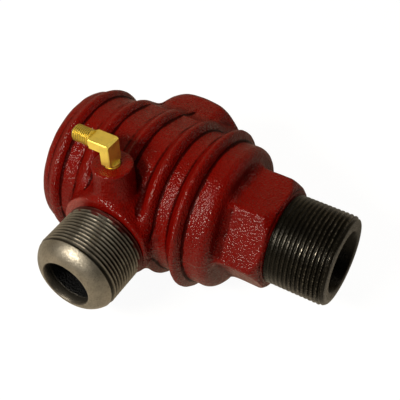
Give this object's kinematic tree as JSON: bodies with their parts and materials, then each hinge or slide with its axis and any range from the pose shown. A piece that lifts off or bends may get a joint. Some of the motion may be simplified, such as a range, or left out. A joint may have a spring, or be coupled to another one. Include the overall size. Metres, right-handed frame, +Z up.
{
  "type": "non-return valve",
  "caption": "Ribbed cast-iron angle non-return valve with domed inlet nipple, threaded outlet nipple, plugged service port, brass unloader elbow and spring-loaded lift disc.",
  "frame": {"origin": "under the middle of the valve's box, at the height of the barrel's lowest rib", "axes": "+X along the outlet, out of the black nipple; -Y out of the inlet nipple; +Y out of the plugged rear port; +Z up, along the brass elbow's boss"},
  "size_m": [0.1572, 0.1336, 0.101],
  "materials": {
    "red_enamelled_iron": "gloss dark red enamel over rough cast iron",
    "black_steel": "black, oily, thread crests worn bright",
    "grey_steel": "satin grey-brown turned steel",
    "bronze": "machined",
    "fibre": "matte fibre board",
    "bright_steel": "machined",
    "seal_rubber": "matte",
    "plug_steel": "satin zinc-plated",
    "copper": "soft copper ring",
    "spring_steel": "drawn wire",
    "brass": "polished"
  },
  "bodies": {
    "casing": {"valve_body": "red_enamelled_iron", "outlet_nipple": "black_steel", "inlet_nipple": "grey_steel", "seat_ring": "bronze", "seat_gasket": "fibre", "rear_plug": "plug_steel", "plug_washer": "copper", "guide_bush": "bronze", "return_spring": "spring_steel", "unloader_elbow": "brass"},
    "disc_group": {"valve_disc": "bright_steel", "disc_seal": "seal_rubber", "seal_washer": "bright_steel", "seal_nut": "bright_steel", "guide_stem": "bright_steel"}
  },
  "joints": [
    {"name": "disc_lift", "type": "slide", "parent": "casing", "child": "disc_group", "axis": [0, 1, 0], "range_m": [0, 0.008], "stiffness_N_per_m": 900, "springref_m": -0.005, "deforming": ["return_spring"]}
  ]
}
